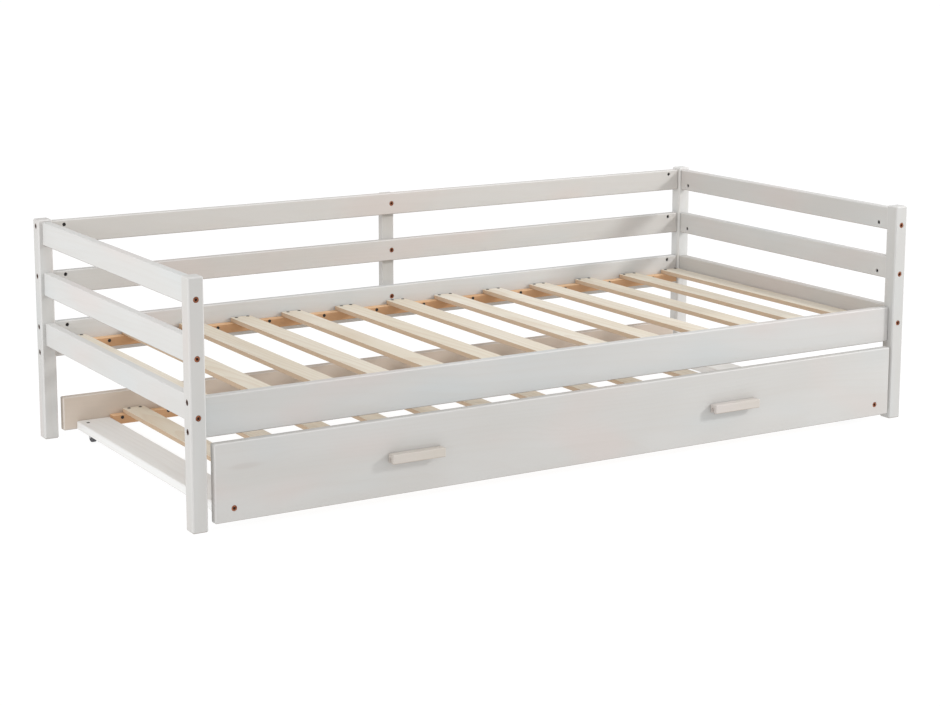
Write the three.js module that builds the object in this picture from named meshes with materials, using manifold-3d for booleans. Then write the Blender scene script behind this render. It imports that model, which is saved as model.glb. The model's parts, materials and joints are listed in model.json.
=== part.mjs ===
// Trundle bed: a low slatted day bed with rails at both ends and along the back, and a guest bed
// on rollers that slides out from under it. Millimetres, +X along the bed, -Y towards the side
// the guest bed comes out of, +Z up. The origin is on the floor, in the middle of everything.
import * as THREE from 'three';
import { ConvexGeometry } from 'three/addons/geometries/ConvexGeometry.js';
import { mergeVertices } from 'three/addons/utils/BufferGeometryUtils.js';
import Module from 'manifold-3d';

const wasm = await Module();
wasm.setup();

// ---- driving dimensions ----
const LENGTH = 2080; // over the posts, along X
const DEPTH = 985; // over the posts, along Y
const HEIGHT = 578; // post tops
const POST = 38; // square posts
const BOARD = 22; // thickness of every planed board
const RAIL_H = 60; // width of the narrow rails
const GAP = 0.3; // air between pieces that touch
const SOFTEN = 2; // eased edges on boards
const SOFTEN_POST = 3; // eased edges on posts

const RAIL_TOPS = [572, 440, 308]; // top edges of the three rails at each end
const END_RAIL_INSET = 11; // outer face of an end rail behind the post's outer face
const BACK_RAIL_INSET = 8; // back face of a back rail in front of the posts' back faces
const BACK_SIDE_RAIL = [216, 308]; // bottom and top of the wide back rail
const FRONT_SIDE_RAIL = [211.5, 304.5];
const FRONT_RAIL_INSET = 17; // front face of the front rail behind the posts' front faces
const UPRIGHT = [38, 218, 570]; // width, bottom and top of the strut behind the back rails

const SLAT = [60, 12]; // width and thickness of every slat
const SLAT_BOTTOM = 256.5; // upper bed
const SLAT_CENTRES = [-950, -788, -626, -474, -321, -154, 10, 166, 330, 491, 654, 816, 971];
const SLAT_END_AIR = 3; // slat ends to the rails
const LEDGER = 25; // square section of the strips that carry the slats
const LEDGER_LENGTH = 1970;

const PANEL_LENGTH = 1977; // front and back boards of the guest bed
const PANEL_PROUD = 7; // front panel in front of the posts' front faces
const PANEL = [17.5, 200]; // bottom and top of the front panel
const GUEST_BACK = [17.5, 106];
const GUEST_BACK_INSET = 17.5; // its back face in front of the posts' back faces
const RUNNER_X = [861, 953]; // flat boards that carry the rollers
const RUNNER_Z = [17.5, 39.5];
const GUEST_LEDGER_Z = [22, 46.7];
const GUEST_SLAT_BOTTOM = 47;
const GUEST_SLAT_CENTRES = [-796, -632, -466, -299, -139, 20, 193, 366, 517, 712];

const HANDLE = [24, 22]; // depth and height of each pull bar
const HANDLE_X = { left: [-550, -408], right: [387, 529] }; // its two ends
const HANDLE_BOTTOM = 98;
const FINGER = [4, 11, 14]; // groove under a bar: rib behind it, its width, its depth

const ROLLER_R = 15;
const ROLLER_W = 12;
const ROLLER_X = 940;
const ROLLER_FROM_BOARD = 81; // roller axle to the panel or back board next to it
const AXLE_R = 2;
const AXLE_BORE_R = 2.2;
const CHEEK_T = 1.5; // sheet of the roller's bracket
const POCKET = [19, 35, 16.5]; // recess for a roller: along X, along Y, depth

const BOLT_R = 7; // sunk bolt heads
const BOLT_SINK = 5;
const NUT_R = 5; // cross holes for the barrel nuts
const NUT_SINK = 10;
const NUT_FROM_POST = 35;
const END_BOLT_Z = [527, 395, 262];
const BACK_POST_BOLT_Z = [560, 429.5, 296.5, 229.5];
const FRONT_POST_BOLT_Z = [296, 229.5];
const STRUT_BOLT_Z = [542.5, 409.5, 277];
const PANEL_BOLT = [942, 48];

// The handles reach furthest forward and the strut furthest back: centre the whole on the origin.
const FRONT_REACH = DEPTH / 2 + PANEL_PROUD + GAP + HANDLE[0];
const BACK_REACH = DEPTH / 2 - BACK_RAIL_INSET + GAP + BOARD;
const Y_MID = (FRONT_REACH - BACK_REACH) / 2;
const Y_FRONT = Y_MID - DEPTH / 2; // front faces of the posts
const Y_BACK = Y_MID + DEPTH / 2; // back faces of the posts
const X_END = LENGTH / 2;

// ---- materials ----
function material(name, color, roughness, metalness = 0) {
  return new THREE.MeshStandardMaterial({ name, color, roughness, metalness });
}
const FINISH = {
  glazed: () => material('glazed_wood', 0xd0cec9, 0.62),
  bare: () => material('bare_wood', 0xddd0bc, 0.7),
  strip: () => material('strip_wood', 0xb98c64, 0.72),
  pull: () => material('pull_wood', 0xcfc3bc, 0.6),
  roller: () => material('roller_plastic', 0x46464a, 0.5),
  bracket: () => material('bracket_steel', 0x9a9ca0, 0.4, 0.9),
};

// ---- solids ----
// A closed three.js geometry as a solid that can be joined and cut.
function solid(geometry) {
  const g = geometry.index ? geometry.toNonIndexed() : geometry.clone();
  g.deleteAttribute('normal');
  g.deleteAttribute('uv');
  const merged = mergeVertices(g, 1e-4);
  const mesh = new wasm.Mesh({
    numProp: 3,
    vertProperties: new Float32Array(merged.attributes.position.array),
    triVerts: new Uint32Array(merged.index.array),
  });
  return new wasm.Manifold(mesh);
}

function geometryOf(shape) {
  const mesh = shape.getMesh();
  const g = new THREE.BufferGeometry();
  g.setAttribute('position', new THREE.BufferAttribute(new Float32Array(mesh.vertProperties), 3));
  g.setIndex(new THREE.BufferAttribute(new Uint32Array(mesh.triVerts), 1));
  g.computeVertexNormals();
  return g;
}

// A plank with eased edges and corners, centred on its own origin.
function plank([x, y, z], ease) {
  const points = [];
  for (const sx of [-0.5, 0.5]) {
    for (const sy of [-0.5, 0.5]) {
      for (const sz of [-0.5, 0.5]) {
        const corner = new THREE.Vector3(sx * x, sy * y, sz * z);
        const inward = new THREE.Vector3(-2 * sx, -2 * sy, -2 * sz).multiplyScalar(ease);
        points.push(corner.clone().add(new THREE.Vector3(0, inward.y, inward.z)));
        points.push(corner.clone().add(new THREE.Vector3(inward.x, 0, inward.z)));
        points.push(corner.clone().add(new THREE.Vector3(inward.x, inward.y, 0)));
      }
    }
  }
  return new ConvexGeometry(points);
}

// A round cutter whose axis runs along 'x' or 'y', centred at a point.
function drill(axis, radius, length, [x, y, z]) {
  const g = new THREE.CylinderGeometry(radius, radius, length, 12);
  if (axis === 'x') g.rotateZ(Math.PI / 2);
  g.translate(x, y, z);
  return solid(g);
}

const bed = new THREE.Group();
bed.name = 'trundle_bed';
const guest = new THREE.Group();
guest.name = 'guest_bed';
bed.add(guest);

// One plank between two corners, with any holes given in the same frame.
function board(parent, name, low, high, finish, ease = SOFTEN, cuts = []) {
  const size = high.map((v, i) => v - low[i]);
  const mid = high.map((v, i) => (v + low[i]) / 2);
  let geometry = plank(size, ease);
  if (cuts.length) {
    let body = solid(geometry);
    for (const cut of cuts) {
      body = body.subtract(cut.translate([-mid[0], -mid[1], -mid[2]]));
    }
    geometry = geometryOf(body);
  }
  const mesh = new THREE.Mesh(geometry, FINISH[finish]());
  mesh.name = name;
  mesh.position.set(...mid);
  parent.add(mesh);
  return mesh;
}

const SIDES = [['left', -1], ['right', 1]];

// ---- posts, with the sunk heads' holes on their outside faces ----
for (const [side, s] of SIDES) {
  for (const [where, y0, out, boltZ] of [
    ['front', Y_FRONT, -1, FRONT_POST_BOLT_Z],
    ['back', Y_BACK - POST, 1, BACK_POST_BOLT_Z],
  ]) {
    const x0 = s < 0 ? -X_END : X_END - POST;
    const xMid = x0 + POST / 2;
    const yMid = y0 + POST / 2;
    const yFace = yMid + (out * POST) / 2;
    const cuts = END_BOLT_Z.map((z) => drill('y', BOLT_R, 2 * BOLT_SINK, [xMid, yFace, z]));
    for (const z of boltZ) {
      cuts.push(drill('x', BOLT_R, 2 * BOLT_SINK, [s * X_END, yMid, z]));
    }
    board(bed, `post_${where}_${side}`, [x0, y0, 0], [x0 + POST, y0 + POST, HEIGHT],
      'glazed', SOFTEN_POST, cuts);
  }
}

// ---- end rails, three at each end ----
for (const [side, s] of SIDES) {
  ['top', 'middle', 'bottom'].forEach((level, i) => {
    const outer = X_END - END_RAIL_INSET;
    const xs = [s * outer, s * (outer - BOARD)].sort((a, b) => a - b);
    const ys = [Y_FRONT + POST + GAP, Y_BACK - POST - GAP];
    const inner = s * (outer - BOARD);
    const cuts = [ys[0] + NUT_FROM_POST, ys[1] - NUT_FROM_POST].map((y) =>
      drill('x', NUT_R, 2 * NUT_SINK, [inner, y, END_BOLT_Z[i]]));
    board(bed, `end_rail_${side}_${level}`, [xs[0], ys[0], RAIL_TOPS[i] - RAIL_H],
      [xs[1], ys[1], RAIL_TOPS[i]], 'glazed', SOFTEN, cuts);
  });
}

// ---- back rails and the strut that ties them together ----
const X_RAIL = X_END - POST - GAP;
const Y_RAIL = [Y_BACK - BACK_RAIL_INSET - BOARD, Y_BACK - BACK_RAIL_INSET];
for (const [name, z0, z1, i] of [
  ['back_rail_top', RAIL_TOPS[0] - RAIL_H, RAIL_TOPS[0], 0],
  ['back_rail_middle', RAIL_TOPS[1] - RAIL_H, RAIL_TOPS[1], 1],
  ['side_rail_back', ...BACK_SIDE_RAIL, 2],
]) {
  const cuts = [drill('y', BOLT_R, 2 * BOLT_SINK, [0, Y_RAIL[0], STRUT_BOLT_Z[i]])];
  for (const [, s] of SIDES) {
    const at = [s * (X_RAIL - NUT_FROM_POST), Y_RAIL[0], BACK_POST_BOLT_Z[i]];
    cuts.push(drill('y', NUT_R, 2 * NUT_SINK, at));
  }
  board(bed, name, [-X_RAIL, Y_RAIL[0], z0], [X_RAIL, Y_RAIL[1], z1], 'glazed', SOFTEN, cuts);
}
board(bed, 'centre_upright', [-UPRIGHT[0] / 2, Y_RAIL[1] + GAP, UPRIGHT[1]],
  [UPRIGHT[0] / 2, Y_RAIL[1] + GAP + BOARD, UPRIGHT[2]], 'glazed');

// ---- front rail ----
const Y_FRONT_RAIL = [Y_FRONT + FRONT_RAIL_INSET, Y_FRONT + FRONT_RAIL_INSET + BOARD];
board(bed, 'side_rail_front', [-X_RAIL, Y_FRONT_RAIL[0], FRONT_SIDE_RAIL[0]],
  [X_RAIL, Y_FRONT_RAIL[1], FRONT_SIDE_RAIL[1]], 'glazed', SOFTEN,
  SIDES.flatMap(([, s]) => FRONT_POST_BOLT_Z.map((z) =>
    drill('y', NUT_R, 2 * NUT_SINK, [s * (X_RAIL - NUT_FROM_POST), Y_FRONT_RAIL[1], z]))));

// ---- strips and slats of the upper bed ----
for (const [where, y0] of [
  ['front', Y_FRONT_RAIL[1] + GAP],
  ['back', Y_RAIL[0] - GAP - LEDGER],
]) {
  board(bed, `slat_ledger_${where}`, [-LEDGER_LENGTH / 2, y0, SLAT_BOTTOM - GAP - LEDGER],
    [LEDGER_LENGTH / 2, y0 + LEDGER, SLAT_BOTTOM - GAP], 'strip', 1.2);
}
SLAT_CENTRES.forEach((x, i) => {
  const tag = String(i + 1).padStart(2, '0');
  board(bed, `slat_${tag}`,
    [x - SLAT[0] / 2, Y_FRONT_RAIL[1] + SLAT_END_AIR, SLAT_BOTTOM],
    [x + SLAT[0] / 2, Y_RAIL[0] - SLAT_END_AIR, SLAT_BOTTOM + SLAT[1]], 'bare', 1);
});

// ---- guest bed: front panel, back board and the two flat runners ----
const Y_PANEL = [Y_FRONT - PANEL_PROUD, Y_FRONT - PANEL_PROUD + BOARD];
const Y_GUEST_BACK = [Y_BACK - GUEST_BACK_INSET - BOARD, Y_BACK - GUEST_BACK_INSET];
board(guest, 'guest_front_panel', [-PANEL_LENGTH / 2, Y_PANEL[0], PANEL[0]],
  [PANEL_LENGTH / 2, Y_PANEL[1], PANEL[1]], 'glazed', SOFTEN,
  SIDES.map(([, s]) =>
    drill('y', BOLT_R, 2 * BOLT_SINK, [s * PANEL_BOLT[0], Y_PANEL[0], PANEL_BOLT[1]])));
board(guest, 'guest_back_board', [-PANEL_LENGTH / 2, Y_GUEST_BACK[0], GUEST_BACK[0]],
  [PANEL_LENGTH / 2, Y_GUEST_BACK[1], GUEST_BACK[1]], 'glazed');

const ROLLER_Y = [Y_PANEL[1] + ROLLER_FROM_BOARD, Y_GUEST_BACK[0] - ROLLER_FROM_BOARD];
for (const [side, s] of SIDES) {
  const xs = [s * RUNNER_X[0], s * RUNNER_X[1]].sort((a, b) => a - b);
  const pockets = ROLLER_Y.map((y) => {
    const g = new THREE.BoxGeometry(POCKET[0], POCKET[1], 2 * POCKET[2]);
    g.translate(s * ROLLER_X, y, RUNNER_Z[0]);
    return solid(g);
  });
  board(guest, `guest_runner_${side}`, [xs[0], Y_PANEL[1] + GAP, RUNNER_Z[0]],
    [xs[1], Y_GUEST_BACK[0] - GAP, RUNNER_Z[1]], 'glazed', SOFTEN, pockets);
}

// ---- strips and slats of the guest bed ----
for (const [where, y0] of [
  ['front', Y_PANEL[1] + GAP],
  ['back', Y_GUEST_BACK[0] - GAP - LEDGER],
]) {
  board(guest, `guest_ledger_${where}`, [-RUNNER_X[0] + GAP, y0, GUEST_LEDGER_Z[0]],
    [RUNNER_X[0] - GAP, y0 + LEDGER, GUEST_LEDGER_Z[1]], 'strip', 1.2);
}
GUEST_SLAT_CENTRES.forEach((x, i) => {
  const tag = String(i + 1).padStart(2, '0');
  board(guest, `guest_slat_${tag}`,
    [x - SLAT[0] / 2, Y_PANEL[1] + SLAT_END_AIR, GUEST_SLAT_BOTTOM],
    [x + SLAT[0] / 2, Y_GUEST_BACK[0] - SLAT_END_AIR, GUEST_SLAT_BOTTOM + SLAT[1]], 'bare', 1);
});

// ---- pull bars, each with a groove for the fingers along its underside ----
for (const [side, [x0, x1]] of Object.entries(HANDLE_X)) {
  const [rib, width, depth] = FINGER;
  const back = Y_PANEL[0] - GAP;
  const yGroove = back - rib - width / 2;
  const zRound = HANDLE_BOTTOM + depth - width / 2;
  const slot = new THREE.BoxGeometry(x1 - x0 + 10, width, 2 * (depth - width / 2));
  slot.translate((x0 + x1) / 2, yGroove, HANDLE_BOTTOM);
  board(guest, `handle_${side}`, [x0, back - HANDLE[0], HANDLE_BOTTOM],
    [x1, back, HANDLE_BOTTOM + HANDLE[1]], 'pull', 1.5,
    [solid(slot), drill('x', width / 2, x1 - x0 + 10, [(x0 + x1) / 2, yGroove, zRound])]);
}

// ---- rollers: a wheel on a pin held by a folded bracket, sunk in the runner ----
// The wheel's section, turned about its axle.
function rollerGeometry() {
  const h = ROLLER_W / 2;
  const profile = [
    [AXLE_BORE_R, -h + 1], [5, -h], [6.5, -h], [7.5, -h + 1], [ROLLER_R - 3, -h + 1],
    [ROLLER_R - 1.4, -h], [ROLLER_R, -h + 1.6], [ROLLER_R, h - 1.6],
    [ROLLER_R - 1.4, h], [ROLLER_R - 3, h - 1], [7.5, h - 1], [6.5, h], [5, h],
    [AXLE_BORE_R, h - 1], [AXLE_BORE_R, -h + 1],
  ].map(([r, x]) => new THREE.Vector2(r, x));
  const g = new THREE.LatheGeometry(profile, 24);
  g.rotateZ(-Math.PI / 2);
  return geometryOf(solid(g));
}

// Two cheeks hanging from a small plate, joined by the axle pin. Origin on the axle.
function bracketGeometry() {
  const out = ROLLER_W / 2 + 1;
  const top = RUNNER_Z[0] + POCKET[2] - GAP - ROLLER_R;
  const outline = new THREE.Shape();
  outline.moveTo(-12, top);
  outline.lineTo(-12, top - 6);
  outline.lineTo(-4.5, -2);
  outline.absarc(0, 0, 5, Math.PI * 1.13, Math.PI * 1.87, false);
  outline.lineTo(12, top - 6);
  outline.lineTo(12, top);
  outline.closePath();
  let body = null;
  for (const x of [-out - CHEEK_T, out]) {
    const g = new THREE.ExtrudeGeometry(outline, { depth: CHEEK_T, bevelEnabled: false, curveSegments: 8 });
    g.rotateX(Math.PI / 2);
    g.rotateZ(Math.PI / 2);
    g.translate(x, 0, 0);
    const cheek = solid(g);
    body = body ? body.add(cheek) : cheek;
  }
  const plate = new THREE.BoxGeometry(2 * out + CHEEK_T, 24, CHEEK_T);
  plate.translate(0, 0, top - CHEEK_T / 2);
  const pin = new THREE.CylinderGeometry(AXLE_R, AXLE_R, 2 * out + CHEEK_T, 16);
  pin.rotateZ(Math.PI / 2);
  return geometryOf(body.add(solid(plate)).add(solid(pin)));
}

for (const [side, s] of SIDES) {
  [['front', ROLLER_Y[0]], ['back', ROLLER_Y[1]]].forEach(([where, y]) => {
    for (const [kind, geometry, finish] of [
      ['roller', rollerGeometry(), 'roller'],
      ['roller_bracket', bracketGeometry(), 'bracket'],
    ]) {
      const mesh = new THREE.Mesh(geometry, FINISH[finish]());
      mesh.name = `${kind}_${where}_${side}`;
      mesh.position.set(s * ROLLER_X, y, ROLLER_R);
      guest.add(mesh);
    }
  });
}

export default bed;
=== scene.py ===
# %% [markdown]
# # A trundle bed
# A low day bed of glazed pine boards, with a second bed on rollers that slides out from under it.
# The CAD frame gives every board its size and place. This file gives the boards their softened
# edges, their grain and glaze, and adds the metal that holds them together.
# Start by loading the frame and keeping its parts and its record.

# %% Load the CAD frame
import json
import math
import random

import bmesh
import bpy
from mathutils import Matrix, Vector


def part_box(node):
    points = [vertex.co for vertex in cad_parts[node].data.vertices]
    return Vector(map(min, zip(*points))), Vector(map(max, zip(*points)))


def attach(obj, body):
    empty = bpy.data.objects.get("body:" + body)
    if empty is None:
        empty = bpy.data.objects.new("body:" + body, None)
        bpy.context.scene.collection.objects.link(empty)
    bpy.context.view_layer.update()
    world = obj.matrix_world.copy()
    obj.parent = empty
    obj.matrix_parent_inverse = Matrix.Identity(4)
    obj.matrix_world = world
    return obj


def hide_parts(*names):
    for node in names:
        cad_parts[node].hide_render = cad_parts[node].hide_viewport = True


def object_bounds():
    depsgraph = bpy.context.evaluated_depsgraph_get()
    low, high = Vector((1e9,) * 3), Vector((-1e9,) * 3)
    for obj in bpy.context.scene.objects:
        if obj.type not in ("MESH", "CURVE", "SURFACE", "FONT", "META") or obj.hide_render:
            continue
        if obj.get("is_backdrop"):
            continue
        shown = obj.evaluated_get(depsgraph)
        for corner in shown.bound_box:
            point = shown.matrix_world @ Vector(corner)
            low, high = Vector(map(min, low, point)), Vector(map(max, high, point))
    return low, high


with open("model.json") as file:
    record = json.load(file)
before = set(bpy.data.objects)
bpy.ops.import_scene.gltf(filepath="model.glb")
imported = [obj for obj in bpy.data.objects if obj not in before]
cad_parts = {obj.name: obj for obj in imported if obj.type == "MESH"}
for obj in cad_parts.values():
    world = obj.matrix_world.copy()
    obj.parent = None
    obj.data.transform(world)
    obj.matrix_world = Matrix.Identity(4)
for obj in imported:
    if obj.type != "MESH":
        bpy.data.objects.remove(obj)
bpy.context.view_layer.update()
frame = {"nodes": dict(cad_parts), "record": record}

# %% [markdown]
# ## Wiring shader nodes
# A material in Blender is a graph: small nodes joined by wires. Wiring each one by hand takes three
# lines every time, so two helpers do it. `add_node` makes a node and fills its sockets, either with
# a plain value or with the output of another node. `calc` makes the Math node that sums and
# multiplies. On top of them, `blend` mixes two colours, `layer` lays one colour thinly over another,
# and `stretch` turns a soft noise into a pattern from 0 to 1. A finish then reads like a recipe.

# %% Helpers for node graphs
def add_node(graph, kind, inputs=None, **settings):
    """Makes one shader node, sets its options, and fills the sockets named in inputs."""
    made = graph.nodes.new(kind)
    for option, value in settings.items():
        setattr(made, option, value)
    for socket, value in (inputs or {}).items():
        if isinstance(value, bpy.types.NodeSocket):
            graph.links.new(value, made.inputs[socket])
        else:
            made.inputs[socket].default_value = value
    return made


def calc(graph, operation, first, second=0.0, third=0.0):
    """One Math node; each value is a number or the output of another node."""
    values = {0: first, 1: second, 2: third}
    return add_node(graph, "ShaderNodeMath", values, operation=operation).outputs[0]


def blend(graph, amount, base, top, mode="MIX"):
    """Mixes two colours; amount, base and top are values or outputs."""
    made = add_node(graph, "ShaderNodeMix", data_type="RGBA", blend_type=mode)
    for socket, value in (("Factor_Float", amount), ("A_Color", base), ("B_Color", top)):
        place = next(s for s in made.inputs if s.identifier == socket)
        if isinstance(value, bpy.types.NodeSocket):
            graph.links.new(value, place)
        else:
            place.default_value = (*value, 1.0) if isinstance(value, tuple) else value
    return next(s for s in made.outputs if s.identifier == "Result_Color")


def layer(graph, base, pattern, share, top):
    """Lays the colour top over base, where the pattern is, and never more than share of it."""
    return blend(graph, calc(graph, "MULTIPLY", pattern, share), base, top)


def stretch(graph, value, low, high, out_low=0.0, out_high=1.0):
    """Maps low..high to out_low..out_high with soft ends."""
    ends = {"From Min": low, "From Max": high, "To Min": out_low, "To Max": out_high}
    made = add_node(graph, "ShaderNodeMapRange", {"Value": value, **ends},
                    interpolation_type="SMOOTHSTEP")
    return made.outputs["Result"]


def new_finish(name):
    """An empty material, with its graph and its Principled shader."""
    finish = bpy.data.materials.new(name)
    finish.use_nodes = True
    graph = finish.node_tree
    shader = next(n for n in graph.nodes if n.type == "BSDF_PRINCIPLED")
    return finish, graph, shader


print("helpers ready: add_node, calc, blend, layer, stretch, new_finish")

# %% [markdown]
# ## Pine, and the glaze on it
# Wood is a solid pattern: a board is a slice through a stack of cones, the growth rings, so the
# same rings must meet at the face, the edge and the end. A pattern that wraps round each face can't
# do that. Instead each board carries its own coordinates in an attribute called `grain`: x runs
# along the fibres, y across the width, z through the thickness, all in metres. The distance of a
# point from the heart of the tree is then one length, and rings are a wave of that distance.
# Each board's coordinates start somewhere else, so that no two boards match.

# %% The pattern that all the wood shares
def wood_pattern(graph, ring_gap, knot_share):
    """Outputs of the shared pattern: rings, fibres, clouds and knots, each from 0 to 1."""
    grain = add_node(graph, "ShaderNodeAttribute", attribute_name="grain").outputs["Vector"]

    def seen(along, across, through):
        return add_node(graph, "ShaderNodeVectorMath", {0: grain, 1: (along, across, through)},
                        operation="MULTIPLY").outputs["Vector"]

    def noise(scales, detail=3.0, rough=0.5):
        return add_node(graph, "ShaderNodeTexNoise",
                        {"Vector": seen(*scales), "Scale": 1.0, "Detail": detail, "Roughness": rough}
                        ).outputs["Fac"]

    cell = add_node(graph, "ShaderNodeTexVoronoi",
                    {"Vector": seen(2.3, 12.0, 1.6), "Scale": 1.0, "Randomness": 0.9})
    picked = stretch(graph, add_node(graph, "ShaderNodeSeparateColor", {"Color": cell.outputs["Color"]}
                                     ).outputs[0], 1.0 - knot_share, 1.0 - knot_share + 0.02)
    near = calc(graph, "MULTIPLY", picked, stretch(graph, cell.outputs["Distance"], 0.42, 0.0))
    knot = calc(graph, "MULTIPLY", picked, stretch(graph, cell.outputs["Distance"], 0.13, 0.05))

    sway = noise((1.1, 5.0, 5.0), 2.0)
    heart = add_node(graph, "ShaderNodeVectorMath", {0: seen(0.012, 1.0, 1.0)}, operation="LENGTH")
    radius = calc(graph, "MULTIPLY_ADD", sway, ring_gap * 6.0, heart.outputs["Value"])
    radius = calc(graph, "MULTIPLY_ADD", near, ring_gap * 2.5, radius)
    turn = calc(graph, "FRACT", calc(graph, "DIVIDE", radius, ring_gap))
    late = calc(graph, "MULTIPLY", stretch(graph, turn, 0.35, 0.9), stretch(graph, turn, 1.0, 0.93))
    return {
        "rings": late,
        "fibres": noise((9.0, 420.0, 420.0), 4.0, 0.6),
        "streaks": noise((1.6, 42.0, 42.0), 3.0, 0.55),
        "clouds": noise((2.2, 9.0, 9.0), 2.0, 0.5),
        "tint": noise((3.1, 7.0, 7.0), 1.0, 0.4),
        "knot": knot,
        "near": near,
    }


def attribute(graph, name):
    """A number that each board carries, such as how far it leans to the warm side."""
    return add_node(graph, "ShaderNodeAttribute", attribute_name=name).outputs["Fac"]


print("wood pattern ready")

# %% [markdown]
# ## The white glaze
# The frame's boards are rolled with a thin milky glaze, which hides most of the wood but not all:
# rings and fibres show as faint streaks, knots as soft brownish spots, and the coat's thickness
# drifts from pinkish to bluish white along a board. Mixing a full wood with a full coat would need
# two of everything, so the colour starts as the coat, and what shows through it is laid on thinly.

# %% Glazed pine
MILK, THICK_MILK = (0.534, 0.528, 0.512), (0.562, 0.560, 0.549)
ROSE, BLUISH = (0.580, 0.520, 0.498), (0.508, 0.543, 0.552)
HONEY, CHALK = (0.600, 0.500, 0.410), (0.80, 0.80, 0.79)
BOARD_RING_GAP = 0.0042  # metres from one growth ring to the next


def raise_grain(graph, shader, wood, fibre_share, ring_share, strength, height):
    """Lifts the fibres and the hard latewood a fraction of a millimetre."""
    relief = calc(graph, "ADD", calc(graph, "MULTIPLY", wood["fibres"], fibre_share),
                  calc(graph, "MULTIPLY", wood["rings"], ring_share))
    bump = add_node(graph, "ShaderNodeBump",
                    {"Strength": strength, "Distance": height, "Height": relief})
    graph.links.new(bump.outputs["Normal"], shader.inputs["Normal"])


def make_glazed_pine():
    finish, graph, shader = new_finish("glazed_pine")
    wood = wood_pattern(graph, BOARD_RING_GAP, 0.12)
    lean = attribute(graph, "tone")
    coat = blend(graph, stretch(graph, wood["clouds"], 0.3, 0.7), MILK, THICK_MILK)
    coat = blend(graph, stretch(graph, wood["tint"], 0.52, 0.75, 0.0, 0.6), coat, ROSE)
    coat = blend(graph, stretch(graph, wood["tint"], 0.46, 0.22, 0.0, 0.5), coat, BLUISH)
    coat = blend(graph, stretch(graph, lean, 0.0, 1.0, 0.0, 0.8), coat, HONEY)
    coat = blend(graph, stretch(graph, lean, 0.0, -1.0, 0.0, 1.0), coat, CHALK)
    # what shows through: streaks, rings, fibres, the wood round a knot, and the knot
    coat = layer(graph, coat, stretch(graph, wood["streaks"], 0.45, 0.75), 0.09, (0.54, 0.50, 0.46))
    ring_share = calc(graph, "MULTIPLY", wood["streaks"], 0.13)
    coat = layer(graph, coat, wood["rings"], ring_share, (0.50, 0.45, 0.40))
    coat = layer(graph, coat, stretch(graph, wood["fibres"], 0.5, 0.85), 0.10, (0.50, 0.46, 0.42))
    coat = layer(graph, coat, wood["near"], 0.12, (0.54, 0.50, 0.47))
    coat = layer(graph, coat, wood["knot"], 0.22, (0.40, 0.35, 0.32))
    # painted highlight: rounded edges are painted paler; painted shade: faces that look down are
    # painted darker
    coat = layer(graph, coat, attribute(graph, "eased"), 0.35, (0.72, 0.71, 0.70))
    coat = layer(graph, coat, attribute(graph, "under"), 0.6, (0.24, 0.20, 0.17))
    graph.links.new(coat, shader.inputs["Base Color"])
    graph.links.new(stretch(graph, wood["fibres"], 0.3, 0.7, 0.50, 0.62), shader.inputs["Roughness"])
    raise_grain(graph, shader, wood, 0.6, 0.4, 0.35, 0.0004)
    shader.inputs["IOR"].default_value = 1.45
    return finish


glazed_pine = make_glazed_pine()
print("made", glazed_pine.name, "with", len(glazed_pine.node_tree.nodes), "nodes")

# %% [markdown]
# ## Bare pine
# The slats are planed but not finished: cream sapwood with orange latewood lines, a few knots, and
# narrow sides that were sawn rather than planed and have gone a warmer brown. The strips under
# the slats are the same wood, cut nearer the heart, so they are darker. The pull bars have a thin
# grey-beige stain and no knots. One recipe makes all three: it takes a light and a dark colour, a
# third for lines and sawn sides, and how much of each shows.

# %% Bare pine for slats, strips and pull bars
BARE_RING_GAP = 0.0034
# the second colour here is painted shade, laid on faces that look down
KNOT_HEART, UNDERSIDE_SHADE = (0.16, 0.08, 0.035), (0.30, 0.20, 0.12)


def make_bare_pine(name, light, dark, side, line_share, knot_share=0.22, rough=0.62, sawn_share=0.75):
    finish, graph, shader = new_finish(name)
    wood = wood_pattern(graph, BARE_RING_GAP, knot_share)
    body = blend(graph, stretch(graph, wood["clouds"], 0.3, 0.72), light, dark)
    body = blend(graph, stretch(graph, attribute(graph, "tone"), 0.0, 1.0, 0.0, 0.5), body, dark)
    body = layer(graph, body, wood["rings"], line_share, side)
    body = layer(graph, body, stretch(graph, wood["streaks"], 0.4, 0.8), 0.25, dark)
    body = layer(graph, body, stretch(graph, wood["fibres"], 0.5, 0.9), 0.22, side)
    body = layer(graph, body, wood["near"], 0.3, side)
    body = layer(graph, body, wood["knot"], 0.75, KNOT_HEART)
    body = layer(graph, body, attribute(graph, "sawn"), sawn_share, side)
    # painted shade: faces that look down are painted darker
    body = layer(graph, body, attribute(graph, "under"), 0.5, UNDERSIDE_SHADE)
    graph.links.new(body, shader.inputs["Base Color"])
    dull = stretch(graph, wood["fibres"], 0.3, 0.7, rough, rough + 0.14)
    graph.links.new(dull, shader.inputs["Roughness"])
    raise_grain(graph, shader, wood, 0.7, 0.3, 0.5, 0.0005)
    return finish


slat_pine = make_bare_pine("slat_pine", (0.74, 0.695, 0.61), (0.675, 0.61, 0.50),
                           (0.50, 0.34, 0.21), line_share=0.20)
strip_pine = make_bare_pine("strip_pine", (0.80, 0.56, 0.35), (0.68, 0.42, 0.23),
                            (0.46, 0.24, 0.11), line_share=0.35)
pull_wood = make_bare_pine("pull_wood", (0.60, 0.56, 0.555), (0.545, 0.505, 0.445),
                           (0.55, 0.48, 0.42), line_share=0.12,
                           knot_share=0.0, rough=0.5, sawn_share=0.1)
print("made", slat_pine.name, strip_pine.name, pull_wood.name)
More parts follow.
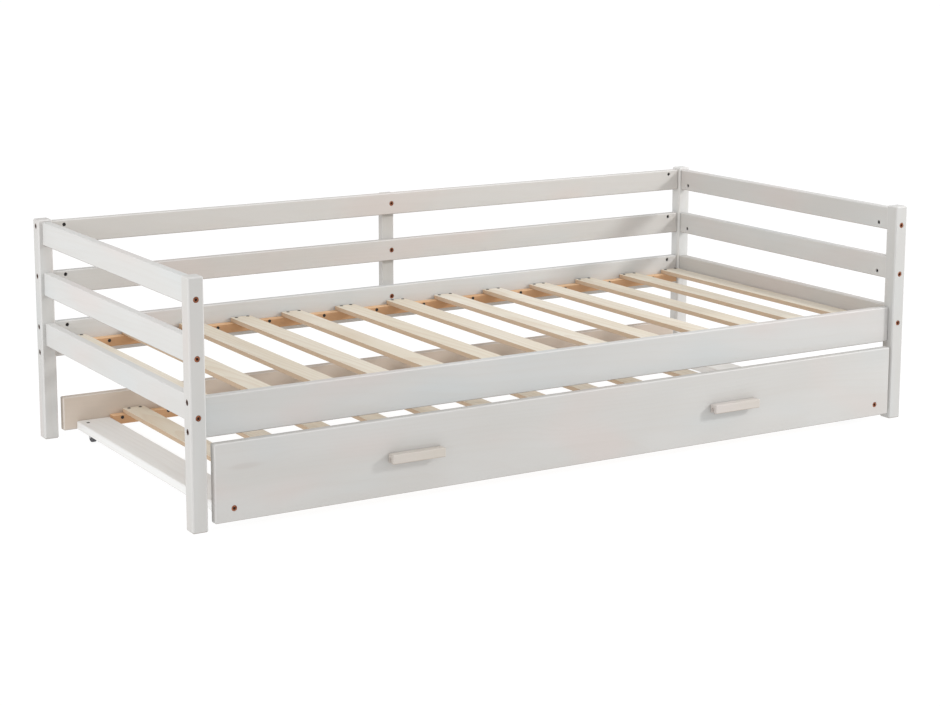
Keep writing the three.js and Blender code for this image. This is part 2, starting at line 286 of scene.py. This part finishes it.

# %% [markdown]
# ## Metal and plastic
# The bolt heads are zinc plate with a yellow-brown passivation, so they look coppery and a little
# blotchy, and darker on the outer sides of the posts. The barrel nuts and screws are blackened, and
# the rollers are moulded dark grey plastic on plain steel brackets. Each takes a fine noise for its
# blotches and for its roughness, read from Object coordinates, because none of these pieces needs a
# direction. An attribute called `shadow` marks the recesses, which are painted nearly black as painted
# shade.

# %% Plated steel and moulded plastic
# near-black painted shade for the recesses marked `shadow`
RECESS_SHADE = (0.012, 0.008, 0.006)


def make_plain(name, light, dark, metallic, rough_low, rough_high, scale):
    finish, graph, shader = new_finish(name)
    place = add_node(graph, "ShaderNodeTexCoord").outputs["Object"]

    def specks(size, detail):
        return add_node(graph, "ShaderNodeTexNoise",
                        {"Vector": place, "Scale": size, "Detail": detail}).outputs["Fac"]

    patch, speck = specks(scale, 4.0), specks(scale * 7, 2.0)
    colour = blend(graph, stretch(graph, patch, 0.35, 0.7), light, dark)
    # painted shade: recess faces are painted nearly black
    colour = layer(graph, colour, attribute(graph, "shadow"), 0.9, RECESS_SHADE)
    graph.links.new(colour, shader.inputs["Base Color"])
    graph.links.new(stretch(graph, speck, 0.3, 0.7, rough_low, rough_high), shader.inputs["Roughness"])
    shader.inputs["Metallic"].default_value = metallic
    bump = add_node(graph, "ShaderNodeBump", {"Strength": 0.2, "Distance": 0.0003, "Height": speck})
    graph.links.new(bump.outputs["Normal"], shader.inputs["Normal"])
    return finish


bolt_plate = make_plain("bolt_plate", (0.40, 0.15, 0.075), (0.17, 0.055, 0.03),
                        metallic=0.75, rough_low=0.28, rough_high=0.5, scale=260.0)
side_bolt_plate = make_plain("side_bolt_plate", (0.13, 0.06, 0.035), (0.05, 0.025, 0.02),
                             metallic=0.6, rough_low=0.3, rough_high=0.5, scale=260.0)
dark_steel = make_plain("dark_steel", (0.016, 0.013, 0.012), (0.008, 0.006, 0.006),
                        metallic=0.0, rough_low=0.35, rough_high=0.6, scale=300.0)
bracket_steel = make_plain("bracket_steel", (0.55, 0.55, 0.56), (0.42, 0.43, 0.45),
                           metallic=1.0, rough_low=0.3, rough_high=0.5, scale=120.0)
roller_plastic = make_plain("roller_plastic", (0.055, 0.056, 0.06), (0.035, 0.035, 0.04),
                            metallic=0.0, rough_low=0.4, rough_high=0.6, scale=180.0)
print("finishes so far:", [finish.name for finish in bpy.data.materials])

# %% [markdown]
# ## Which way the grain runs
# The fibres of a board run along its longest side, so the longest side of its box becomes x of the
# `grain` attribute, the width y and the thickness z. The seed of the random start is the board's own
# name, which gives the same board every time. No two boards take the glaze alike either, so each has
# a `tone`: above 0 it leans to warm, below 0 it is paler.

# %% Grain and tone of a board
WARMTH = {
    "guest_back_board": 0.95,
    "back_rail_top": 0.26, "back_rail_middle": 0.24, "side_rail_back": -0.32,
    "end_rail_right_top": -0.16, "end_rail_right_middle": -0.24, "end_rail_right_bottom": 0.30,
    "end_rail_left_top": -0.24, "end_rail_left_middle": -0.24, "end_rail_left_bottom": -0.2,
    "side_rail_front": 0.10, "guest_front_panel": 0.18,
    "guest_runner_left": -0.75, "guest_runner_right": -0.75,
    "post_front_left": 0.15, "post_front_right": 0.0,
    "post_back_right": -0.42, "post_back_left": 0.0,
    "handle_left": 0.9, "handle_right": 0.1,
}


def long_way(size):
    """Axes of a board from its longest to its shortest side."""
    return sorted(range(3), key=lambda axis: -size[axis])


def lay_grain(mesh, name, order, low):
    """Writes each point's place in the log, so that the pattern runs along the board."""
    dice = random.Random(name)
    along, across = dice.uniform(0, 30), dice.uniform(-0.03, 0.03)
    start = Vector((along, across, dice.choice((-1, 1)) * dice.uniform(0.05, 0.13)))
    spot = mesh.attributes.new("grain", "FLOAT_VECTOR", "POINT")
    for index, vertex in enumerate(mesh.vertices):
        local = vertex.co - low
        spot.data[index].vector = [local[axis] + start[i] for i, axis in enumerate(order)]
    lean = WARMTH.get(name, dice.random())
    tone = mesh.attributes.new("tone", "FLOAT", "POINT")
    tone.data.foreach_set("value", [lean] * len(mesh.vertices))


print("tones given by hand to", len(WARMTH), "boards")

# %% [markdown]
# ## Edges, sides and undersides
# A rounded edge is painted paler, a painted highlight along it; a sawn narrow side is warmer; and an
# underside is painted darker, which is painted shade. The way a face looks tells which it is: a rounded
# edge is tilted from every axis, a narrow side doesn't look along the thickness, and an underside looks
# down.

# %% Mark the faces that take the finish differently
SQUARE_ON, BROAD, DOWNWARD = 0.995, 0.7, -0.3


def mark_faces(mesh, order):
    """Fills the attributes eased, sawn and under with 0 or 1 for each face."""
    thickness = order[2]
    tests = {
        "eased": lambda normal: max(abs(c) for c in normal) <= SQUARE_ON,
        "sawn": lambda normal: abs(normal[thickness]) <= BROAD,
        "under": lambda normal: normal.z < DOWNWARD,
    }
    for name, test in tests.items():
        marks = mesh.attributes.new(name, "FLOAT", "FACE")
        marks.data.foreach_set("value", [float(test(face.normal)) for face in mesh.polygons])


print("faces will be marked by the way they look")

# %% [markdown]
# ## A planed board
# On the real bed a board leaves the planer with sharp corners, and a sander rounds them. The CAD
# board already has its size, its holes and a small flat on every edge. A copy of it is merged, its
# flat faces are joined up, and then the bevel operator rounds the flats off. Large faces must stay
# perfectly flat, so the Weighted Normal modifier lets big faces decide the shading. The copy stands
# in for the CAD node, and rides on the same body.

# %% Make a board from its CAD node
def planed(node, finish, body, soften):
    """A finished board in place of a CAD node."""
    copy = bmesh.new()
    copy.from_mesh(frame["nodes"][node].data)
    bmesh.ops.remove_doubles(copy, verts=copy.verts, dist=1e-5)
    bmesh.ops.dissolve_limit(copy, angle_limit=math.radians(1), verts=copy.verts, edges=copy.edges)
    corners = [e for e in copy.edges
               if len(e.link_faces) == 2 and e.calc_face_angle() > math.radians(33)]
    bmesh.ops.bevel(copy, geom=corners, offset=soften, offset_type="OFFSET", segments=2, profile=0.5,
                    affect="EDGES", clamp_overlap=True, material=-1)
    mesh = bpy.data.meshes.new(node + "_planed")
    copy.to_mesh(mesh)
    copy.free()
    mesh.polygons.foreach_set("use_smooth", [True] * len(mesh.polygons))
    low, high = map(Vector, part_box(node))
    order = long_way(high - low)
    lay_grain(mesh, node, order, low)
    mark_faces(mesh, order)
    mesh.materials.clear()
    mesh.materials.append(finish)
    board = bpy.data.objects.new(node + "_planed", mesh)
    bpy.context.collection.objects.link(board)
    flat = board.modifiers.new("flat faces stay flat", "WEIGHTED_NORMAL")
    flat.weight = 80
    flat.keep_sharp = True
    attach(board, body)
    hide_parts(node)
    return board


print("planer ready")

# %% [markdown]
# ## Which finish goes where
# The record names the body that each node rides on and the material slot that each part takes. The
# script asks it rather than keeping lists of its own, so that the two can't disagree.

# %% Bodies, slots and finishes
record = frame["record"]
body_of = {node: body for body, nodes in record["behaviour"]["bodies"].items() for node in nodes}
slot_of = {part["node"]: part["material_slot"] for part in record["subparts"]}
wood_of = {"glazed_wood": glazed_pine, "bare_wood": slat_pine,
           "strip_wood": strip_pine, "pull_wood": pull_wood}

# %% [markdown]
# ## All the boards
# Every wooden node gets the same treatment, so one loop makes them. Posts and pull bars are handled
# most, so their edges are rounder. Slats and strips are never touched, so theirs stay crisp.

# %% Plane every board
HANDLED, USUAL, CRISP = 0.0013, 0.0009, 0.0005  # how far each kind of edge is rounded, in metres

for node, slot in slot_of.items():
    if slot in wood_of:
        soft = HANDLED if node.startswith(("post", "handle")) else USUAL
        soft = CRISP if slot in ("bare_wood", "strip_wood") else soft
        planed(node, wood_of[slot], body_of[node], soft)

# %% [markdown]
# ## Small turned pieces
# Bolt heads, barrel nuts and screws are turned parts that repeat many times. Each kind is modelled
# once, lying on the XY plane with its visible face towards +Z, and then copied to its places. Copies
# on different beds go into different meshes, so that each moves with the right one. The shapes start
# from a circle that is extruded and inset, which is also how a turner thinks: outside first, then
# the recess.

# %% Shape of a bolt head, a barrel nut and a screw
def ring_in(shape, face, thickness, depth=0.0):
    """Insets a face, and moves what is left of it in by depth."""
    bmesh.ops.inset_region(shape, faces=[face], thickness=thickness, depth=0.0, use_even_offset=True)
    if depth:
        bmesh.ops.translate(shape, verts=face.verts, vec=(0, 0, -depth))


def turned_disc(radius, height, segments, rim):
    """A disc with a rounded top rim and its top at z = 0. Returns the shape and its top face."""
    shape = bmesh.new()
    bmesh.ops.create_circle(shape, cap_ends=True, segments=segments, radius=radius)
    face = shape.faces[:][0]
    if face.normal.z > 0:
        face.normal_flip()
    bmesh.ops.translate(shape, verts=shape.verts, vec=(0, 0, -height))
    grown = bmesh.ops.extrude_face_region(shape, geom=[face])
    top = [g for g in grown["geom"] if isinstance(g, bmesh.types.BMFace)][0]
    bmesh.ops.translate(shape, verts=top.verts, vec=(0, 0, height - rim))
    bmesh.ops.inset_region(shape, faces=[top], thickness=rim, depth=0.0)
    bmesh.ops.translate(shape, verts=top.verts, vec=(0, 0, rim))
    return shape, top


HEX_SOCKET = 0.0038  # from the middle of the socket to its corner, in metres


def bolt_head():
    """A flat round head with a hexagon socket."""
    shape, top = turned_disc(radius=0.0069, height=0.003, segments=24, rim=0.0008)
    ring_in(shape, top, 0.0022)
    for corner in top.verts:
        turn = math.atan2(corner.co.y, corner.co.x)
        across = math.cos(math.pi / 6) / math.cos((turn % (math.pi / 3)) - math.pi / 6)
        reach = HEX_SOCKET * across / math.hypot(corner.co.x, corner.co.y)
        corner.co.x *= reach
        corner.co.y *= reach
    ring_in(shape, top, 0.0001, 0.0018)
    return shape


def barrel_nut():
    """The end of a cross dowel, with the slot that turns it."""
    shape, top = turned_disc(radius=0.0047, height=0.004, segments=16, rim=0.0004)
    ring_in(shape, top, 0.0012)
    bmesh.ops.scale(shape, verts=top.verts, vec=(1.0, 0.32, 1.0))
    ring_in(shape, top, 0.0001, 0.001)
    return shape


def wood_screw():
    """A low head with a round recess for the driver."""
    shape, top = turned_disc(radius=0.0046, height=0.001, segments=12, rim=0.0003)
    ring_in(shape, top, 0.0019)
    ring_in(shape, top, 0.0003, 0.0008)
    return shape


for shape_of in (bolt_head, barrel_nut, wood_screw):
    sample = shape_of()
    print(shape_of.__name__, "has", len(sample.faces), "faces")
    sample.free()

# %% [markdown]
# ## Copies of one shape
# Copying is a matter of matrices. For each place the head is turned so that its +Z looks out of the
# board, given its own small twist, and moved there. A `shadow` number on the recess faces darkens
# them: painted shade for the inside of a socket a few millimetres wide.

# %% Put copies at their places
POCKET_RADIUS, POCKET_TOP, POCKET_FLOOR = 0.0040, -0.0007, 0.9  # the last is a share of the height


def turned_set(name, pattern, places, finish, body):
    """One mesh with a copy of pattern at each (point, outward direction)."""
    dice = random.Random(name)
    mesh = bpy.data.meshes.new(name)
    pattern.normal_update()
    small = bpy.data.meshes.new(name + "_one")
    pattern.to_mesh(small)
    whole = bmesh.new()
    for point, outward in places:
        before = len(whole.verts)
        whole.from_mesh(small)
        whole.verts.ensure_lookup_table()
        turn = Vector(outward).to_track_quat("Z", "Y").to_matrix().to_4x4()
        move = Matrix.Translation(point) @ turn @ Matrix.Rotation(dice.uniform(0, 6.28), 4, "Z")
        bmesh.ops.transform(whole, matrix=move, verts=whole.verts[before:])
    whole.to_mesh(mesh)
    whole.free()
    bpy.data.meshes.remove(small)
    floor_of_pocket = POCKET_FLOOR * min(v.co.z for v in pattern.verts)
    pocket = [all(floor_of_pocket < v.co.z < POCKET_TOP and v.co.xy.length < POCKET_RADIUS
                  for v in face.verts) for face in pattern.faces]
    pattern.free()
    # painted shade: recess faces get shadow 1 and are painted nearly black
    dark = mesh.attributes.new("shadow", "FLOAT", "FACE")
    dark.data.foreach_set("value", [float(flag) for flag in pocket] * len(places))
    mesh.materials.append(finish)
    piece = bpy.data.objects.new(name, mesh)
    bpy.context.collection.objects.link(piece)
    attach(piece, body)
    print(name, "-", len(places), "copies,", len(mesh.polygons), "faces")


# %% [markdown]
# ## Bolts
# Long bolts run through the posts into the ends of the rails. Each end rail has one at each post, on
# the post's front or back face. The long rails have theirs on the posts' outer sides: one for a narrow
# rail, two for a wide one. The heights differ, so that two bolts never meet inside a post. Three more
# hold the centre strut to the back rails, and two sit low on the guest bed's front panel. The heads
# lie in holes that the CAD boards already have: the box of a post or rail gives the face, and a list
# gives the heights.

# %% Where the bolts go
SUNK, PANEL_SUNK = 0.0009, 0.0006  # bolt heads sit this far under the surface
END_BOLTS = (0.527, 0.395, 0.262)  # heights of the bolts, in metres
BACK_POST_BOLTS = (0.560, 0.4295, 0.2965, 0.2295)
FRONT_POST_BOLTS = (0.296, 0.2295)
STRUT_BOLTS = {"back_rail_top": 0.5425, "back_rail_middle": 0.4095, "side_rail_back": 0.277}
PANEL_BOLT = (0.942, 0.048)  # out from the middle, and up

bolts, side_bolts = [], []
for side, s in (("left", -1), ("right", 1)):
    for where, out, heights in (("front", -1, FRONT_POST_BOLTS), ("back", 1, BACK_POST_BOLTS)):
        post = f"post_{where}_{side}"
        low, high = map(Vector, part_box(post))
        centre = (low + high) / 2
        face = low.y if out < 0 else high.y
        bolts += [((centre.x, face - out * SUNK, z), (0, out, 0)) for z in END_BOLTS]
        edge = low.x if s < 0 else high.x
        side_bolts += [((edge - s * SUNK, centre.y, z), (s, 0, 0)) for z in heights]
for rail, z in STRUT_BOLTS.items():
    bolts.append(((0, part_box(rail)[0][1] + SUNK, z), (0, -1, 0)))
turned_set("bed_bolts", bolt_head(), bolts, bolt_plate, "bed_frame")
turned_set("bed_side_bolts", bolt_head(), side_bolts, side_bolt_plate, "bed_frame")

panel_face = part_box("guest_front_panel")[0][1] + PANEL_SUNK
guest_bolts = [((s * PANEL_BOLT[0], panel_face, PANEL_BOLT[1]), (0, -1, 0)) for s in (-1, 1)]
turned_set("guest_bolts", bolt_head(), guest_bolts, bolt_plate, "guest_bed")

# %% [markdown]
# ## Barrel nuts
# Each bolt screws into a cross dowel: a short steel rod that lies across the rail, with a thread
# through its middle. Only its slotted end shows, on the rail's inner face, a little way in from the
# post. A rail's own box gives both the face and the distance.

# %% Barrel nuts in the ends of the rails
NUT_FROM_POST, NUT_SUNK = 0.035, 0.003

nuts = []
for side, s in (("left", -1), ("right", 1)):
    for level, z in zip(("top", "middle", "bottom"), END_BOLTS):
        low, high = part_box(f"end_rail_{side}_{level}")
        inner = high[0] if s < 0 else low[0]
        for y in (low[1] + NUT_FROM_POST, high[1] - NUT_FROM_POST):
            nuts.append(((inner + s * NUT_SUNK, y, z), (-s, 0, 0)))
    for rail, z in zip(("back_rail_top", "back_rail_middle", "side_rail_back"), BACK_POST_BOLTS):
        low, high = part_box(rail)
        nuts.append(((s * (high[0] - NUT_FROM_POST), low[1] + NUT_SUNK, z), (0, -1, 0)))
    low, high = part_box("side_rail_front")
    for z in FRONT_POST_BOLTS:
        nuts.append(((s * (high[0] - NUT_FROM_POST), high[1] - NUT_SUNK, z), (0, 1, 0)))
turned_set("bed_barrel_nuts", barrel_nut(), nuts, dark_steel, "bed_frame")

# %% [markdown]
# ## Slat screws
# Each slat is held by two screws at each end. They are driven by hand, so they are never quite in
# line, and a seeded random nudge repeats that. The strips are screwed to the rails once in every gap
# between two slats. The wood has no holes for them, so the heads stand just proud of it, where their
# recesses can be seen.

# %% Screws in slats and strips
PROUD = 0.0009  # a screw head stands this far out of the wood
FROM_SLAT_SIDE = 0.013
ALONG_GAP = 0.56  # a strip's screw sits at this share of the gap between two slats
STRIP_LEVEL, GUEST_STRIP_LEVEL = 0.2495, 0.040
RUNNER_SCREW = (0.934, 0.033)  # out from the middle, and in from the runner's end


def slat_screws(prefix, count, inset, dice):
    """Places of two screws at each end of each slat."""
    places = []
    for number in range(1, count + 1):
        low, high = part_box(f"{prefix}{number:02d}")
        for y in (low[1] + inset, high[1] - inset):
            for x in (low[0] + FROM_SLAT_SIDE, high[0] - FROM_SLAT_SIDE):
                nudge = Vector((dice.uniform(-0.003, 0.003), dice.uniform(-0.003, 0.003), 0))
                places.append((Vector((x, y, high[2] + PROUD)) + nudge, (0, 0, 1)))
    return places


def strip_screws(prefix, count, strip, facing, level, dice):
    """Places of one screw in every gap, on the side of the strip that faces the slats' middle."""
    places = []
    low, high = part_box(strip)
    face = low[1] if facing < 0 else high[1]
    ends = [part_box(f"{prefix}{number:02d}") for number in range(1, count + 1)]
    ends = [(low, low)] + ends + [(high, high)]
    for (_, left), (right, _) in zip(ends, ends[1:]):
        x = left[0] + ALONG_GAP * (right[0] - left[0]) + dice.uniform(-0.008, 0.008)
        places.append(((x, face + facing * PROUD, level + dice.uniform(-0.002, 0.002)), (0, facing, 0)))
    return places


dice = random.Random("screws")
slat_set = slat_screws("slat_", 13, 0.010, dice)
slat_set += strip_screws("slat_", 13, "slat_ledger_back", -1, STRIP_LEVEL, dice)
slat_set += strip_screws("slat_", 13, "slat_ledger_front", 1, STRIP_LEVEL, dice)
turned_set("slat_screws", wood_screw(), slat_set, dark_steel, "bed_frame")
guest_set = slat_screws("guest_slat_", 10, 0.012, dice)
guest_set += strip_screws("guest_slat_", 10, "guest_ledger_back", -1, GUEST_STRIP_LEVEL, dice)
guest_set += strip_screws("guest_slat_", 10, "guest_ledger_front", 1, GUEST_STRIP_LEVEL, dice)
for side, s in (("left", -1), ("right", 1)):
    low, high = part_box(f"guest_runner_{side}")
    for y in (low[1] + RUNNER_SCREW[1], high[1] - RUNNER_SCREW[1]):
        guest_set.append(((s * RUNNER_SCREW[0], y, high[2] + PROUD), (0, 0, 1)))
turned_set("guest_slat_screws", wood_screw(), guest_set, dark_steel, "guest_bed")

# %% [markdown]
# ## Brackets
# Each roller hangs in a folded steel bracket that is sunk into the runner. Its CAD shape is already
# right and only its edges are too sharp, so it goes through the same planer as the boards, with a
# much smaller bevel.

# %% Soften the brackets
BRACKET_EDGE = 0.0003

for node, slot in slot_of.items():
    if slot == "bracket_steel":
        bracket = planed(node, bracket_steel, body_of[node], BRACKET_EDGE)
        print(bracket.name, "-", len(bracket.data.polygons), "faces")

# %% [markdown]
# ## Rollers
# A furniture roller is a moulded wheel on a pin. Its section is drawn as a closed outline in one
# plane and spun round the axle, which gives a true round tread and a hollow for the pin. The
# wheel in the CAD frame is a coarse copy of the same section, so the new one stands in its place.

# %% Spin the rollers
def spun_roller(node, body):
    low, high = map(Vector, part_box(node))
    centre = (low + high) / 2
    half = (high.x - low.x) / 2
    tread = (high.z - low.z) / 2
    hub = [(0.0022, 0.001), (0.005, 0.0), (0.0065, 0.0), (0.0075, 0.0014)]
    rim = [(0.0032, 0.0014), (0.0022, 0.0002), (0.0012, 0.0002), (0.0003, 0.001), (0.0, 0.0022)]
    outline = [(r, x - half) for r, x in hub] + [(tread - r, x - half) for r, x in rim]
    outline += [(r, -x) for r, x in reversed(outline)]
    shape = bmesh.new()
    section = [shape.verts.new((centre.x + x, centre.y, centre.z - r)) for r, x in outline]
    edges = [shape.edges.new((a, b)) for a, b in zip(section, section[1:] + section[:1])]
    bmesh.ops.spin(shape, geom=section + edges, cent=centre, axis=(1, 0, 0), dvec=(0, 0, 0),
                   angle=math.tau, steps=48, use_merge=True, use_duplicate=False)
    bmesh.ops.remove_doubles(shape, verts=shape.verts, dist=1e-6)
    bmesh.ops.recalc_face_normals(shape, faces=shape.faces)
    mesh = bpy.data.meshes.new(node + "_moulded")
    shape.to_mesh(mesh)
    shape.free()
    mesh.polygons.foreach_set("use_smooth", [True] * len(mesh.polygons))
    mesh.set_sharp_from_angle(angle=math.radians(40))
    mesh.materials.append(roller_plastic)
    piece = bpy.data.objects.new(node + "_moulded", mesh)
    bpy.context.collection.objects.link(piece)
    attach(piece, body)
    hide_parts(node)
    print(piece.name, "-", len(mesh.polygons), "faces")


for node, slot in slot_of.items():
    if slot == "roller_plastic":
        spun_roller(node, body_of[node])

# %% [markdown]
# ## The studio
# A pale floor that runs out of sight and a bright even sky give flat, nearly shadowless light. The
# floor glows a little, as a lit table does, so that the ground seen between the slats stays white.

# %% Floor
def make_floor():
    sheet = bmesh.new()
    bmesh.ops.create_grid(sheet, x_segments=1, y_segments=1, size=40.0)
    mesh = bpy.data.meshes.new("studio_floor")
    sheet.to_mesh(mesh)
    sheet.free()
    finish, _, shader = new_finish("floor_paint")
    shader.inputs["Base Color"].default_value = (0.08, 0.08, 0.08, 1)
    shader.inputs["Roughness"].default_value = 0.9
    shader.inputs["Emission Color"].default_value = (1, 1, 1, 1)
    shader.inputs["Emission Strength"].default_value = 0.93
    mesh.materials.append(finish)
    floor = bpy.data.objects.new("studio_floor", mesh)
    bpy.context.collection.objects.link(floor)
    floor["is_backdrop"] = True
    return floor


floor = make_floor()
print("floor laid:", floor.name)

# %% [markdown]
# ## Light
# The sky is white near the horizon and greyer overhead, so that level faces don't burn out. Three
# square softboxes shape the wood: a wide one overhead, a smaller one in front on the right that
# gives the pull bars their shadows, and one on the left that lights the outside of that end. The
# Standard view transform keeps white as white, where a filmic one would turn it grey.

# %% Sky and lamps
HORIZON_GLOW, ZENITH_GLOW = 1.02, 0.42

sky = bpy.data.worlds.new("studio_sky")
sky.use_nodes = True
looking = add_node(sky.node_tree, "ShaderNodeTexCoord").outputs["Generated"]
height = add_node(sky.node_tree, "ShaderNodeSeparateXYZ", {"Vector": looking}).outputs["Z"]
glow = stretch(sky.node_tree, height, 0.30, 0.70, HORIZON_GLOW, ZENITH_GLOW)
backdrop = sky.node_tree.nodes["Background"]
sky.node_tree.links.new(glow, backdrop.inputs["Strength"])
backdrop.inputs["Color"].default_value = (1, 1, 1, 1)
bpy.context.scene.world = sky
bpy.context.scene.view_settings.view_transform = "Standard"


def soft_lamp(name, place, target, size, power):
    """A square softbox that looks at a point."""
    lamp = bpy.data.lights.new(name, "AREA")
    lamp.shape = "SQUARE"
    lamp.size = size
    lamp.energy = power
    holder = bpy.data.objects.new(name, lamp)
    aim = (Vector(target) - Vector(place)).to_track_quat("-Z", "Y").to_matrix().to_4x4()
    holder.matrix_world = Matrix.Translation(place) @ aim
    bpy.context.collection.objects.link(holder)


soft_lamp("overhead_softbox", (1.1, -0.2, 3.6), (0.0, 0.0, 0.2), size=2.4, power=54)
soft_lamp("key_softbox", (3.3, -2.7, 2.1), (0.0, -0.2, 0.2), size=0.5, power=72)
soft_lamp("left_softbox", (-3.3, -0.3, 1.6), (-1.0, 0.0, 0.3), size=1.6, power=32)

# %% [markdown]
# ## Camera
# A long lens a few metres away, at the height of a standing person's chest, keeps the long bed from
# looking stretched. The camera stands in front and to the left, is turned towards the bed's middle
# and looks a little down. A small lens shift moves the picture on the sensor without turning it.

# %% Camera
EYE = (-2.7880, -4.5157, 1.3761)
TURN, TILT, ROLL = math.radians(-30.092), math.radians(-9.852), math.radians(-0.101)
camera = bpy.data.cameras.new("camera")
camera.sensor_width = 36.0
camera.lens = 78.62
camera.shift_x = 0.05
camera.shift_y = -0.10
camera.clip_end = 200.0
eye = bpy.data.objects.new("camera", camera)
eye.matrix_world = (Matrix.Translation(EYE) @ Matrix.Rotation(TURN, 4, "Z")
                    @ Matrix.Rotation(math.pi / 2 + TILT, 4, "X") @ Matrix.Rotation(ROLL, 4, "Z"))
bpy.context.collection.objects.link(eye)
bpy.context.scene.camera = eye
print("camera:", camera.lens, "mm lens at", EYE)

# %% [markdown]
# ## The size of the model
# The finished model has to fill the same box as the CAD model, because other parts are placed by it.

# %% Print the size of the model
low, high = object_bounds()
print("visual box in metres:", [round(b - a, 4) for a, b in zip(low, high)])
